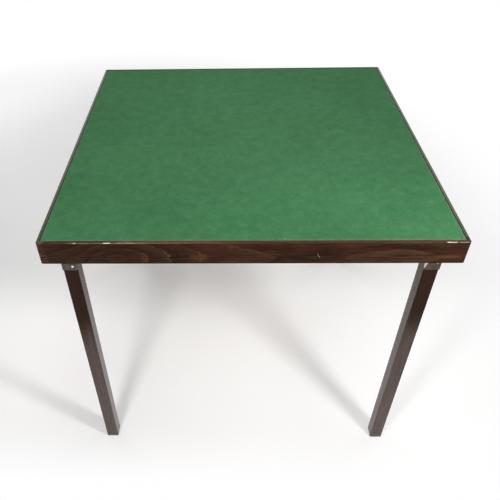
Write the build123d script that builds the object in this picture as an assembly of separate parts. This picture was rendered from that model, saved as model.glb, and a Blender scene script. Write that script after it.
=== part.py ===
from build123d import *
import os

# Square folding card table. Millimetres, +Z up, origin on the floor under the
# middle of the top, front of the table towards -Y.
# The table has fourfold turning symmetry: each rail, corner bracket and leg is
# the front or front left one turned about +Z by a quarter turn.

# Overall sizes
top_side = 760.0
table_height = 676.0

# Rails of the frame
rail_height = 48.5
rail_thickness = 20.0
rim_width = 5.5
lap_tongue = 14.0
rail_top_radius = 1.0
rail_bottom_radius = 2.5
rail_corner_radius = 3.5

# Playing surface
cloth_thickness = 1.2
cloth_drop = 0.6
cloth_hem_gap = 0.4
panel_thickness = 5.0
panel_fit = 0.3
batten_width = 45.0
batten_thickness = 8.0
batten_spacing = 300.0
batten_end_gap = 0.2
batten_edge_radius = 1.5

# Legs
leg_side = 28.0
leg_edge_radius = 1.5
foot_chamfer = 1.2
leg_inner_corner_radius = 6.0

# Steel channel round the top of each leg
channel_thickness = 1.5
channel_bend_radius = 1.0
channel_fit = 0.1
channel_lip = 1.0
channel_drop = 58.0
channel_corner_radius = 3.5
channel_rivet_radius = 3.0
channel_rivet_head_radius = 7.0
channel_rivet_head_height = 2.9
channel_rivet_rim = 0.5
channel_rivet_tail_radius = 5.2
channel_rivet_tail_height = 1.6
channel_rivet_offset = 6.5
lower_rivet_drop = 46.5
upper_rivet_drop = 27.0

# Pivot of each leg
pivot_radius = 4.0
pivot_tail_radius = 7.0
pivot_tail_height = 2.6
pivot_tail_rim = 0.6
spacer_radius = 9.0
spacer_thickness = 3.0
side_clearance = 0.15
running_fit = 0.05
leg_headroom = 5.5

# Pressed steel bracket in each corner
plate_thickness = 2.0
plate_bend_radius = 1.5
plate_corner_radius = 4.0
bracket_bottom_margin = 2.0
front_cheek_reach = 43.0
back_cheek_reach = 22.0
cheek_taper_depth = 18.0
back_cheek_taper = 9.0
flange_length = 70.0
flange_taper = 12.0
top_strip_width = 9.0
bend_relief = 4.0
stop_radius = 5.0
stop_drop = 9.0
stop_gap = 0.2
stop_slope = 1.5

# Countersunk wood screws that hold the brackets
screw_radius = 2.0
screw_length = 16.0
screw_point_length = 4.0
screw_edge = 10.0
screw_step = 12.0
screw_rise = 8.0
screw_slot_width = 0.9
screw_slot_depth = 1.1
screw_slot_turn = 50.0

# Leaf spring that holds each leg open and closed
leaf_width = 18.0
leaf_thickness = 0.8
leaf_gap = 0.3
leaf_root_length = 16.0
leaf_slope_length = 9.0
leaf_tip_length = 4.0
leaf_tip_lift = 1.2
leaf_bend_radius = 2.5
leaf_rivet_radius = 1.5
leaf_rivet_spacing = 9.0
leaf_rivet_tail_radius = 2.8
leaf_rivet_tail_height = 1.1
leaf_rivet_tail_rim = 0.4

# How far a cutting solid runs past what it cuts
overrun = 5.0

# Places worked out from the sizes above
half_side = top_side / 2
panel_top = cloth_drop + cloth_thickness
panel_bottom = panel_top + panel_thickness
pocket_side = top_side - 2 * rim_width
panel_side = pocket_side - 2 * (cloth_thickness + panel_fit)
leg_half = leg_side / 2
channel_half = leg_half + channel_fit + channel_thickness
side_gap = spacer_thickness + 2 * side_clearance
cheek_inner = rail_thickness + plate_thickness
leg_centre = cheek_inner + side_gap + channel_half
back_cheek_inner = leg_centre + channel_half + side_gap
back_cheek_outer = back_cheek_inner + plate_thickness
bracket_bottom = rail_height - bracket_bottom_margin
plate_underside = panel_bottom + plate_thickness
pivot_depth = plate_underside + leg_headroom + channel_half
leaf_underside = pivot_depth - channel_half - leaf_gap
front_cheek_end = leg_centre + front_cheek_reach
back_cheek_end = leg_centre + back_cheek_reach
flange_end = rail_thickness + flange_length

rail_names = ("front", "right", "back", "left")
corner_names = ("front_left", "front_right", "back_right", "back_left")


def block(low, high):
    size = [high[i] - low[i] for i in range(3)]
    return Pos(*low) * Box(*size, align=(Align.MIN, Align.MIN, Align.MIN))


def on_side_view(face, low_y, high_y):
    # A face drawn in X and Z, made into a prism from low_y to high_y.
    return Pos(0, high_y, 0) * extrude(Plane.XZ * face, amount=high_y - low_y)


def on_end_view(face, low_x, high_x):
    # A face drawn in Y and Z, made into a prism from low_x to high_x.
    return Pos(low_x, 0, 0) * extrude(Plane.YZ * face, amount=high_x - low_x)


def rounded_outline(points, radius):
    face = make_face(Polyline(*points, close=True))
    return fillet(face.vertices(), radius)


def folded_strip(points, thickness, inside_radius, side):
    # Section of a bent plate: points lie on its outer face, at the corners of its bends.
    outer = FilletPolyline(*points, radius=inside_radius + thickness)
    return make_face(offset(outer, amount=thickness, side=side))


def turned_about_y(points_face):
    # A half section drawn with its axis on Y, turned into a round solid.
    return revolve(points_face, Axis.Y)


def arc_about(centre, start, end):
    # Arc of under a half circle from start to end.
    middle = Vector(*centre)
    first = Vector(*start) - middle
    second = Vector(*end) - middle
    return ThreePointArc(start, middle + (first + second).normalized() * first.length, end)


def dome_arc(seat, radius, height, way):
    # Half section of a round cap that stands height above its seat, towards way along Y.
    ball_radius = (radius**2 + height**2) / (2 * height)
    top = seat + way * height
    return arc_about((0, top - way * ball_radius), (0, top), (radius, seat))


def domed_rivet(radius, head_radius, head_height, rim, grip, tail_radius, tail_height):
    # The head's seat is at Y = 0, the tail's seat at Y = grip.
    head = dome_arc(-rim, head_radius, head_height - rim, -1)
    tail = dome_arc(grip, tail_radius, tail_height, 1)
    sides = Polyline(
        (head_radius, -rim),
        (head_radius, 0),
        (radius, 0),
        (radius, grip),
        (tail_radius, grip),
    )
    return turned_about_y(make_face([head, sides, tail, Line(tail @ 0, head @ 0)]))


def flush_rivet(radius, head_depth, grip, tail_radius, tail_height, rim):
    # Countersunk head flush at Y = 0, domed tail seated at Y = grip.
    tail = dome_arc(grip + rim, tail_radius, tail_height - rim, 1)
    sides = Polyline(
        (0, 0),
        (radius + head_depth, 0),
        (radius, head_depth),
        (radius, grip),
        (tail_radius, grip),
        (tail_radius, grip + rim),
    )
    return turned_about_y(make_face([sides, tail, Line(tail @ 0, (0, 0))]))


def countersunk_hole(radius, head_depth, depth):
    # What is cut away for a flush head at Y = 0 with a shank along +Y.
    grown = radius + running_fit
    points = [
        (0, -overrun),
        (grown + head_depth, -overrun),
        (grown + head_depth, 0),
        (grown, head_depth),
        (grown, depth),
        (0, depth),
    ]
    return turned_about_y(make_face(Polyline(*points, close=True)))


def cross_hole(radius, x, z, low_y, high_y):
    return on_side_view(Pos(x, z) * Circle(radius), low_y, high_y)


def screw(turn):
    # Flush slotted head at Y = 0, point along +Y. The slot is turned by so many degrees.
    head_radius = screw_radius + plate_thickness
    points = [
        (0, 0),
        (head_radius, 0),
        (screw_radius, plate_thickness),
        (screw_radius, screw_length - screw_point_length),
        (0, screw_length),
    ]
    body = turned_about_y(make_face(Polyline(*points, close=True)))
    half_slot = screw_slot_width / 2
    slot = block(
        (-head_radius - overrun, -overrun, -half_slot),
        (head_radius + overrun, screw_slot_depth, half_slot),
    )
    return body - Rot(0, turn, 0) * slot


def screw_hole():
    return countersunk_hole(screw_radius, plate_thickness, screw_length + running_fit)


def screw_depths():
    return (panel_bottom + screw_rise, bracket_bottom - screw_rise)


def front_screw_places():
    # Screws through the front cheek into the front rail, one above the other.
    upper, lower = screw_depths()
    first = Pos(front_cheek_end - screw_edge, cheek_inner, -upper)
    second = Pos(front_cheek_end - screw_edge - screw_step, cheek_inner, -lower)
    return [first * Rot(0, 0, 180), second * Rot(0, 0, 180)]


def side_screw_places():
    # Screws through the flange into the left rail.
    upper, lower = screw_depths()
    first = Pos(cheek_inner, flange_end - screw_edge, -upper)
    second = Pos(cheek_inner, flange_end - screw_edge - screw_step, -lower)
    return [first * Rot(0, 0, 90), second * Rot(0, 0, 90)]


def at_corner(shape, turn):
    # From the front left corner of the top, where X and Y run along the rails, to its own corner.
    return Rot(0, 0, 90 * turn) * Pos(-half_side, -half_side, table_height) * shape


def rail():
    # The front rail. Its left end butts into the lap of the left rail, its right end is lapped.
    body = block((lap_tongue, 0, -rail_height), (top_side, rail_thickness, 0))
    corner = body.edges().filter_by(Axis.Z).sort_by(Axis.X)[-2:].sort_by(Axis.Y)[0]
    body = fillet(corner, rail_corner_radius)
    faces = [body.faces().sort_by(Axis.Z)[0], body.faces().sort_by(Axis.Z)[-1]]
    for face, radius in zip(faces, (rail_bottom_radius, rail_top_radius)):
        outer = [
            edge
            for edge in face.edges()
            if edge.center().Y < rail_corner_radius or edge.center().X > top_side - rail_corner_radius
        ]
        body = fillet(outer, radius)
    rebate = block(
        (lap_tongue - overrun, rim_width, -panel_bottom),
        (top_side - rim_width, rail_thickness + overrun, overrun),
    )
    lap = block(
        (top_side - rail_thickness, lap_tongue, -rail_height - overrun),
        (top_side + overrun, rail_thickness + overrun, overrun),
    )
    body = body - rebate - lap
    for place in front_screw_places():
        body -= place * screw_hole()
    for place in side_screw_places():
        # The next corner's flange lies on the far end of this rail.
        body -= Pos(top_side, 0, 0) * Rot(0, 0, 90) * place * screw_hole()
    return body


def panel():
    low = (-panel_side / 2, -panel_side / 2, table_height - panel_bottom)
    high = (panel_side / 2, panel_side / 2, table_height - panel_top)
    return block(low, high)


def cloth():
    # Baize stretched over the panel and turned down its edges.
    side = panel_side + 2 * cloth_thickness
    hem = table_height - panel_bottom + cloth_hem_gap
    body = block((-side / 2, -side / 2, hem), (side / 2, side / 2, table_height - cloth_drop))
    body = fillet(body.edges().group_by(Axis.Z)[-1], cloth_thickness)
    inside = block(
        (-panel_side / 2, -panel_side / 2, hem - overrun),
        (panel_side / 2, panel_side / 2, table_height - panel_top),
    )
    return body - inside


def batten(middle_x):
    length = top_side - 2 * (rail_thickness + batten_end_gap)
    top = table_height - panel_bottom
    low = (middle_x - batten_width / 2, -length / 2, top - batten_thickness)
    high = (middle_x + batten_width / 2, length / 2, top)
    body = block(low, high)
    lower = body.edges().filter_by(Axis.Y).group_by(Axis.Z)[0]
    return fillet(lower, batten_edge_radius)


def swing_face(lowest):
    # Side view of a leg's top about its pivot: a quarter round at the outer
    # corner clears the bracket as the leg folds, and the inner corner is eased.
    edge = leg_half + channel_lip
    ease = leg_inner_corner_radius
    ease_start = (edge - ease, channel_half)
    ease_end = (edge, channel_half - ease)
    outline = [
        Line((-channel_half, -lowest), (-channel_half, 0)),
        arc_about((0, 0), (-channel_half, 0), (0, channel_half)),
        Line((0, channel_half), ease_start),
        arc_about((edge - ease, channel_half - ease), ease_start, ease_end),
        Line(ease_end, (edge, -lowest)),
        Line((edge, -lowest), (-channel_half, -lowest)),
    ]
    return make_face(outline)


def swing_prism(lowest):
    reach = leg_centre + channel_half + overrun
    face = Pos(leg_centre, -pivot_depth) * swing_face(lowest)
    return on_side_view(face, -overrun, reach)


def channel_rivet_points():
    # Distance of each channel rivet from the pivot, towards the middle of the rail and down.
    return [
        (channel_rivet_offset, -lower_rivet_drop),
        (-channel_rivet_offset, -upper_rivet_drop),
    ]


def leg_holes():
    low_y = leg_centre - channel_half - overrun
    high_y = leg_centre + channel_half + overrun
    holes = cross_hole(pivot_radius + running_fit, leg_centre, -pivot_depth, low_y, high_y)
    for x, z in channel_rivet_points():
        radius = channel_rivet_radius + running_fit
        holes += cross_hole(radius, leg_centre + x, z - pivot_depth, low_y, high_y)
    return holes


def leg():
    top = channel_half - pivot_depth
    low = (leg_centre - leg_half, leg_centre - leg_half, -table_height)
    high = (leg_centre + leg_half, leg_centre + leg_half, top)
    body = block(low, high)
    body = fillet(body.edges().filter_by(Axis.Z), leg_edge_radius)
    body = chamfer(body.faces().sort_by(Axis.Z)[0].edges(), foot_chamfer)
    return (body & swing_prism(table_height + overrun)) - leg_holes()


def channel():
    # Web on the outer face of the leg, a cheek on each face that the pivot crosses.
    edge = leg_half + channel_lip
    points = [
        (edge, -channel_half),
        (-channel_half, -channel_half),
        (-channel_half, channel_half),
        (edge, channel_half),
    ]
    section = folded_strip(points, channel_thickness, channel_bend_radius, Side.RIGHT)
    lowest = channel_drop + pivot_depth
    height = lowest - pivot_depth + channel_half
    body = Pos(leg_centre, leg_centre, -lowest) * extrude(section, amount=height)
    body = (body & swing_prism(channel_drop)) - leg_holes()
    corners = [
        edge_line
        for edge_line in body.edges().filter_by(Axis.Y)
        if abs(edge_line.center().Z + lowest) < running_fit and edge_line.center().X > leg_centre
    ]
    return fillet(corners, channel_corner_radius)


def channel_rivets():
    seat = leg_centre - channel_half
    rivets = []
    for x, z in channel_rivet_points():
        rivet = domed_rivet(
            channel_rivet_radius,
            channel_rivet_head_radius,
            channel_rivet_head_height,
            channel_rivet_rim,
            2 * channel_half,
            channel_rivet_tail_radius,
            channel_rivet_tail_height,
        )
        rivets.append(Pos(leg_centre + x, seat, z - pivot_depth) * rivet)
    return rivets


def pivot_rivet():
    grip = back_cheek_outer - rail_thickness
    rivet = flush_rivet(
        pivot_radius,
        plate_thickness,
        grip,
        pivot_tail_radius,
        pivot_tail_height,
        pivot_tail_rim,
    )
    return Pos(leg_centre, rail_thickness, -pivot_depth) * rivet


def spacers():
    ring = Circle(spacer_radius) - Circle(pivot_radius + running_fit)
    rings = []
    for low_y in (cheek_inner + side_clearance, back_cheek_inner - side_clearance - spacer_thickness):
        face = Pos(leg_centre, -pivot_depth) * ring
        rings.append(on_side_view(face, low_y, low_y + spacer_thickness))
    return rings


def leaf():
    # Spring blade: its root lies under the bracket's top, its free end over the end of the leg.
    low = -leaf_underside
    tip = leg_centre - channel_half + leaf_tip_length
    knee = back_cheek_end
    slope_end = knee + leaf_slope_length
    root_end = slope_end + leaf_root_length
    points = [
        (tip - leaf_tip_length, low + leaf_tip_lift),
        (tip, low),
        (knee, low),
        (slope_end, -plate_underside - leaf_thickness),
        (root_end, -plate_underside - leaf_thickness),
    ]
    outer = FilletPolyline(*points, radius=leaf_bend_radius)
    section = make_face(offset(outer, amount=leaf_thickness, side=Side.LEFT))
    body = on_side_view(section, leg_centre - leaf_width / 2, leg_centre + leaf_width / 2)
    hole = Rot(90, 0, 0) * Cylinder(leaf_rivet_radius + running_fit, rail_height)
    for place in leaf_rivet_places():
        body -= place * hole
    return body


def leaf_rivet_places():
    # Flush heads in the top of the bracket, tails under the root of the leaf.
    root = back_cheek_end + leaf_slope_length + leaf_root_length / 2
    places = []
    for side in (-1, 1):
        y = leg_centre + side * leaf_rivet_spacing / 2
        places.append(Pos(root, y, -panel_bottom) * Rot(-90, 0, 0))
    return places


def leaf_rivets():
    rivets = []
    for place in leaf_rivet_places():
        rivet = flush_rivet(
            leaf_rivet_radius,
            plate_thickness / 2,
            plate_thickness + leaf_thickness,
            leaf_rivet_tail_radius,
            leaf_rivet_tail_height,
            leaf_rivet_tail_rim,
        )
        rivets.append(place * rivet)
    return rivets


def bracket_saddle():
    # Front cheek, top and back cheek: one plate bent over the end of the leg.
    points = [
        (rail_thickness, -bracket_bottom),
        (rail_thickness, -panel_bottom),
        (back_cheek_outer, -panel_bottom),
        (back_cheek_outer, -bracket_bottom),
    ]
    section = folded_strip(points, plate_thickness, plate_bend_radius, Side.RIGHT)
    start = rail_thickness + bend_relief
    saddle = on_end_view(section, start, front_cheek_end)
    front_outline = [
        (0, 0),
        (front_cheek_end, 0),
        (front_cheek_end, -bracket_bottom + cheek_taper_depth),
        (front_cheek_end - cheek_taper_depth, -bracket_bottom),
        (0, -bracket_bottom),
    ]
    back_outline = [
        (0, 0),
        (back_cheek_end, 0),
        (back_cheek_end, -bracket_bottom + cheek_taper_depth),
        (back_cheek_end - back_cheek_taper, -bracket_bottom),
        (0, -bracket_bottom),
    ]
    front_face = rounded_outline(front_outline, plate_corner_radius)
    back_face = rounded_outline(back_outline, plate_corner_radius)
    keep = on_side_view(front_face, 0, leg_centre)
    keep += on_side_view(back_face, leg_centre, back_cheek_outer + overrun)
    return saddle & keep


def bracket_flange():
    # The flange on the left rail, bent down from the same top.
    points = [
        (rail_thickness, -bracket_bottom),
        (rail_thickness, -panel_bottom),
        (rail_thickness + top_strip_width, -panel_bottom),
    ]
    section = folded_strip(points, plate_thickness, plate_bend_radius, Side.RIGHT)
    flange = on_side_view(section, rail_thickness + bend_relief, flange_end)
    outline = [
        (0, 0),
        (flange_end, 0),
        (flange_end, -bracket_bottom + flange_taper),
        (flange_end - flange_taper, -bracket_bottom),
        (0, -bracket_bottom),
    ]
    keep = on_end_view(rounded_outline(outline, plate_corner_radius), 0, leg_centre)
    return flange & keep


def stop_boss():
    # Round boss pressed out of the flange, on which the open leg's channel rests.
    height = side_gap - stop_gap
    base = stop_radius + stop_slope
    centre = Pos(cheek_inner, leg_centre, -pivot_depth - stop_drop) * Rot(0, 90, 0)
    outer = Cone(base, stop_radius, height, align=(Align.CENTER, Align.CENTER, Align.MIN))
    hollow = Cone(
        base - stop_slope,
        stop_radius - stop_slope,
        height,
        align=(Align.CENTER, Align.CENTER, Align.MIN),
    )
    return centre * outer, centre * Pos(0, 0, -plate_thickness) * hollow


def bracket():
    # The corner between the two bends is left open.
    body = bracket_saddle() + bracket_flange()
    boss, hollow = stop_boss()
    body = body + boss - hollow
    body -= Pos(leg_centre, rail_thickness, -pivot_depth) * countersunk_hole(
        pivot_radius, plate_thickness, back_cheek_outer
    )
    for place in front_screw_places() + side_screw_places():
        body -= place * screw_hole()
    for place in leaf_rivet_places():
        depth = plate_thickness + overrun
        body -= place * countersunk_hole(leaf_rivet_radius, plate_thickness / 2, depth)
    return body


def save(name, shape):
    solids = shape if isinstance(shape, list) else [shape]
    solids = [solid for piece in solids for solid in piece.solids()]
    whole = solids[0] if len(solids) == 1 else Compound(children=solids)
    export_step(whole, os.path.join("parts", name + ".step"))


os.makedirs("parts", exist_ok=True)

front_rail = rail()
for turn, name in enumerate(rail_names):
    save(name + "_rail", at_corner(front_rail, turn))

save("top_panel", panel())
save("baize", cloth())
for name, side in (("left", -1), ("right", 1)):
    save(name + "_batten", batten(side * batten_spacing / 2))

corner_pieces = {
    "leg": [leg()],
    "leg_channel": [channel()],
    "channel_rivets": channel_rivets(),
    "corner_bracket": [bracket()],
    "pivot_rivet": [pivot_rivet()],
    "pivot_spacers": spacers(),
    "leaf_spring": [leaf()],
}
for turn, corner in enumerate(corner_names):
    for name, pieces in corner_pieces.items():
        save(corner + "_" + name, [at_corner(piece, turn) for piece in pieces])

screw_places = front_screw_places() + side_screw_places()
screws = []
for turn in range(4):
    for place in screw_places:
        screws.append(at_corner(place * screw(screw_slot_turn * len(screws)), turn))
save("bracket_screws", screws)
spring_rivets = leaf_rivets()
save("spring_rivets", [at_corner(piece, turn) for turn in range(4) for piece in spring_rivets])
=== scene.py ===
import math

import bmesh
import bpy
from mathutils import Matrix, Vector


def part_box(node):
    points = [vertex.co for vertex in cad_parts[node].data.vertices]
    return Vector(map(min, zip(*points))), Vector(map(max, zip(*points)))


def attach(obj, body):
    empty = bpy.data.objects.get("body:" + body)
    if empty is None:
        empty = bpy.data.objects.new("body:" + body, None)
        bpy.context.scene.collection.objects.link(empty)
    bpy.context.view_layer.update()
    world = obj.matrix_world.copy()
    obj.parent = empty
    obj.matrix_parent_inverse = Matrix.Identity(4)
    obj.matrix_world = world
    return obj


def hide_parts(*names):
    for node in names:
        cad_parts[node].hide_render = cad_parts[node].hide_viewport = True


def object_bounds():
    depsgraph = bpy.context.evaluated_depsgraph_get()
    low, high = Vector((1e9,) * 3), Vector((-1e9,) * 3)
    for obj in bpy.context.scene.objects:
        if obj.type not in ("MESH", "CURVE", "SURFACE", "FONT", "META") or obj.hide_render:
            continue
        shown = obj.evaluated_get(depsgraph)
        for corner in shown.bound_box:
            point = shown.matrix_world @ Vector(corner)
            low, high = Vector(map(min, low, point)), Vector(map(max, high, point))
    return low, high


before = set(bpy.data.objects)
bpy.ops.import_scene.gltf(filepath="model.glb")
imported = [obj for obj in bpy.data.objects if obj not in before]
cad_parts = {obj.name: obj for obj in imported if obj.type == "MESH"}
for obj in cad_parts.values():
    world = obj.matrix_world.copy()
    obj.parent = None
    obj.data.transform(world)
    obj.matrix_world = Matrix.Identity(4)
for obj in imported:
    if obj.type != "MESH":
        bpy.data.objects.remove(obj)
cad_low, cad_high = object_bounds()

# Square folding card table, dressed. Metres, +Z up, origin on the floor under
# the middle of the top, front of the table towards -Y. Colours are linear RGB.

RAILS = ("front", "right", "back", "left")
CORNERS = ("front_left", "front_right", "back_right", "back_left")
QUARTER_TURN = math.pi / 2
WHITE = (1, 1, 1)

# Depth of the bump of each kind of surface, and what makes it
WOOD_RELIEF = 0.0001
STEEL_RELIEF = 0.00003
BAIZE_RELIEF = 0.0003
WOOD_HEIGHTS = {"grain": 0.6, "pores": -0.5, "dents": -0.8}
BARE_HEIGHTS = {"fibre": 1, "pores": -0.5}
STEEL_HEIGHTS = {"fine": 0.4, "specks": -0.6}
BAIZE_HEIGHTS = {"weave": 0.2, "fibre": 0.5, "nap": 0.5}

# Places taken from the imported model
top_z = cad_high.z
half_side = cad_high.x
baize_low, baize_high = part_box("baize")
panel_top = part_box("top_panel")[1].z


class Nodes:
    """A node tree built from small calls. Each value is a number, a colour or a socket,
    and a mark is a value that is 1 where there is all of something and 0 where none."""

    def __init__(self, tree):
        self.tree = tree

    def feed(self, socket, value):
        if isinstance(value, bpy.types.NodeSocket):
            self.tree.links.new(value, socket)
        elif socket.type == "RGBA":
            socket.default_value = (*value, 1)
        else:
            socket.default_value = value

    def feed_named(self, node, inputs):
        for name, value in inputs.items():
            self.feed(node.inputs[name.replace("_", " ")], value)

    def node(self, kind, *inputs, **settings):
        """A new node, with its first inputs fed in turn."""
        node = self.tree.nodes.new(kind)
        for name, value in settings.items():
            setattr(node, name, value)
        for socket, value in zip(node.inputs, inputs):
            if value is not None:
                self.feed(socket, value)
        return node

    def place(self):
        return self.node("ShaderNodeTexCoord").outputs["Object"]

    def facing(self):
        """The way the surface faces, along X, Y and Z."""
        return self.split(self.node("ShaderNodeTexCoord").outputs["Normal"])

    def split(self, vector):
        return self.node("ShaderNodeSeparateXYZ", vector).outputs

    def away(self, a, b):
        """Distance between two places."""
        return self.node("ShaderNodeVectorMath", a, b, operation="DISTANCE").outputs["Value"]

    def away_level(self, x, y, centre):
        """Distance in plan from a centre."""
        flat = self.node("ShaderNodeCombineXYZ", x, y, 0).outputs[0]
        return self.away(flat, (*centre, 0))

    def math(self, operation, a, b=None):
        return self.node("ShaderNodeMath", a, b, operation=operation).outputs[0]

    def add(self, a, b):
        return self.math("ADD", a, b)

    def sub(self, a, b):
        return self.math("SUBTRACT", a, b)

    def mul(self, a, b):
        return self.math("MULTIPLY", a, b)

    def div(self, a, b):
        return self.math("DIVIDE", a, b)

    def most(self, a, b):
        return self.math("MAXIMUM", a, b)

    def size(self, a):
        return self.math("ABSOLUTE", a)

    def rest(self, share):
        """What a share leaves of the whole."""
        return self.sub(1, share)

    def diagonal(self, a, b):
        return self.math("SQRT", self.add(self.mul(a, a), self.mul(b, b)))

    def shifted(self, vector, move=(0, 0, 0), turn=0.0, scale=(1, 1, 1)):
        return self.node("ShaderNodeMapping", vector, move, (0, 0, turn), scale).outputs[0]

    def noise(self, vector, scale, detail, roughness=0.5):
        """Noise of one scale, or of a scale of its own along each axis."""
        if isinstance(scale, tuple):
            vector = self.shifted(vector, scale=scale)
            scale = 1.0
        node = self.node("ShaderNodeTexNoise")
        inputs = {"Vector": vector, "Scale": scale, "Detail": detail, "Roughness": roughness}
        self.feed_named(node, inputs)
        return node.outputs[0]

    def noises(self, vector, table):
        """Every noise of a table of scale, detail and, where it isn't plain, roughness."""
        return {name: self.noise(vector, *values) for name, values in table.items()}

    def sway(self, noise, reach):
        """A noise as an offset to either side of 0, of so much in all."""
        return self.mul(self.sub(noise, 0.5), reach)

    def marks(self, noise, table):
        """Share of every mark of a table: which noise it is cut from, and the values of
        that noise at which it begins and is full."""
        return {name: self.between(noise[cut], *ends) for name, (cut, *ends) in table.items()}

    def weigh(self, weights, **values):
        """The weights' base, if they have one, and every value times its weight."""
        total = weights.get("base", 0)
        for name, value in values.items():
            total = self.add(total, self.mul(value, weights[name]))
        return total

    def between(self, value, low, high):
        """0 below low, 1 above high, smooth between; low may be above high."""
        ends = (low, high, 0, 1) if low < high else (high, low, 1, 0)
        kind = "ShaderNodeMapRange"
        return self.node(kind, value, *ends, interpolation_type="SMOOTHSTEP").outputs[0]

    def near(self, value, centre, reach, core):
        """1 within core of the centre, 0 further off than reach."""
        return self.between(self.size(self.sub(value, centre)), reach, core)

    def span(self, value, start, end, fade_in, fade_out):
        """1 from start to end, fading to 0 on both sides."""
        rising = self.between(value, start - fade_in, start)
        return self.mul(rising, self.between(value, end + fade_out, end))

    def ramp(self, value, stops):
        node = self.node("ShaderNodeValToRGB", value)
        steps = node.color_ramp.elements
        while len(steps) < len(stops):
            steps.new(0.5)
        for step, (position, colour) in zip(steps, stops):
            step.position = position
            step.color = (*colour, 1)
        return node.outputs[0]

    def mix(self, share, a, b):
        """Colour a with a share of colour b in it."""
        node = self.node("ShaderNodeMix", data_type="RGBA")
        factor, first, second, result = 0, 6, 7, 2
        for socket, value in ((factor, share), (first, a), (second, b)):
            self.feed(node.inputs[socket], value)
        return node.outputs[result]

    def cover(self, colour, mark, over, strength):
        """A colour with another over it where a mark is, at most so strong."""
        return self.mix(self.mul(mark, strength), colour, over)

    def bump(self, height, depth):
        node = self.node("ShaderNodeBump")
        self.feed_named(node, {"Height": height, "Strength": 1, "Distance": depth})
        return node.outputs[0]

    def emission(self, strength):
        return self.node("ShaderNodeEmission", WHITE, strength).outputs[0]

    def seen_directly(self):
        """1 for rays from the camera and for those that glossy and clear surfaces send on."""
        path = self.node("ShaderNodeLightPath").outputs
        seen = self.most(path["Is Camera Ray"], path["Is Glossy Ray"])
        return self.most(seen, path["Is Transmission Ray"])


class Shader(Nodes):
    """A material made round its Principled shader."""

    def __init__(self, name, **inputs):
        self.material = bpy.data.materials.new(name)
        self.material.use_nodes = True
        super().__init__(self.material.node_tree)
        self.surface = self.tree.nodes["Principled BSDF"]
        self.set(**inputs)

    def set(self, **inputs):
        self.feed_named(self.surface, inputs)


def dress(node, material):
    """Gives a node of the CAD model a better material."""
    mesh = bpy.data.objects[node].data
    mesh.materials.clear()
    mesh.materials.append(material)


# Rails

VARNISH = {"IOR": 1.5, "Specular_IOR_Level": 0.08, "Coat_IOR": 1.5}
STAIN_DARK = (0.0115, 0.0042, 0.001)
STAIN_MID = (0.0245, 0.0092, 0.0026)
STAIN_LIGHT = (0.047, 0.0225, 0.0105)
STAIN_ORANGE = (0.098, 0.04, 0.0115)
STAIN_THIN = (0.165, 0.092, 0.052)
STAIN_WIPED = (0.2, 0.1, 0.05)
# Bare wood; on the worn top edge it is also a painted highlight on the arris
BARE_WOOD_AND_HIGHLIGHT = (0.6, 0.52, 0.42)
# Dirt just under the worn edge, also a painted shade there
EDGE_DIRT_AND_SHADE = (0.005, 0.003, 0.002)
# Green dust on the rims' tops, also a painted reflection that lightens the far rims
GREEN_DUST_AND_REFLECTION = (0.085, 0.13, 0.085)
STAIN = ((0.67, STAIN_DARK), (0.8, STAIN_MID), (0.95, STAIN_LIGHT))
END_GRAIN = (
    (0.38, (0.018, 0.008, 0.004)),
    (0.5, (0.046, 0.019, 0.01)),
    (0.64, (0.12, 0.064, 0.042)),
)
END_SHARE = 0.85

# Colour and strength of marks on the stain
BLUSH = ((0.037, 0.0098, 0.0052), 0.6)
DEEPER = (STAIN_DARK, 0.35)
TICK = (BARE_WOOD_AND_HIGHLIGHT, 0.26)
PORE = ((0.008, 0.004, 0.002), 0.45)
# Grime on the rim's top, also a painted shadow of the gap beside the cloth
RIM_GRIME_AND_SHADE = ((0.014, 0.012, 0.006), 0.6)

# Weights in the stain's tone, in how worn the edge is, in how thin its stain is there,
# in how far a place is from that edge, and in the varnish's roughness
RAIL_TONE = {"year": 0.22, "third": 0.08, "fine": 0.95, "streak": 0.4}
WEAR = {"rubbed": 0.5, "coarse": 0.5, "handled": 0.06}
THIN = {"base": 0.12, "handled": 0.5}
# Share of thinner, paler stain on the rim's top, also a painted sheen that lightens it
THIN_RIM_AND_SHEEN = 0.12
FROM_EDGE = (1.25, -0.65)
RAIL_ROUGHNESS = {"base": 0.3, "fine": 0.16, "worn": 0.2}

# Scale along the rail, into it and up it, detail, roughness
RAIL_NOISE = {
    "wander": ((9, 30, 30), 2),
    "ripple": ((50, 150, 150), 2),
    "fine": ((20, 220, 220), 4, 0.7),
    "streak": ((5, 90, 90), 3),
    "blush": ((9, 45, 45), 2),
    "patchy": ((14, 60, 60), 2),
    "pores": ((60, 1500, 1500), 1),
    "rubbed": ((70, 300, 300), 4, 0.7),
    "coarse": ((11, 9, 9), 2),
    "wiped": ((4, 40, 40), 3),
    "dents": ((60, 80, 80), 1),
}
RAIL_MARKS = {
    "blush": ("blush", 0.42, 0.62),
    "faint": ("patchy", 0.4, 0.6),
    "bright": ("patchy", 0.2, 0.45),
    "broken": ("fine", 0.3, 0.55),
    "pores": ("pores", 0.58, 0.7),
    "dents": ("dents", 0.72, 0.85),
    "wiped": ("wiped", 0.3, 0.75),
}
END_NOISE = ((260, 260, 190), 3, 0.65)
SEED_STEP = (3.7, 1.3, 0.7)

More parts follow.
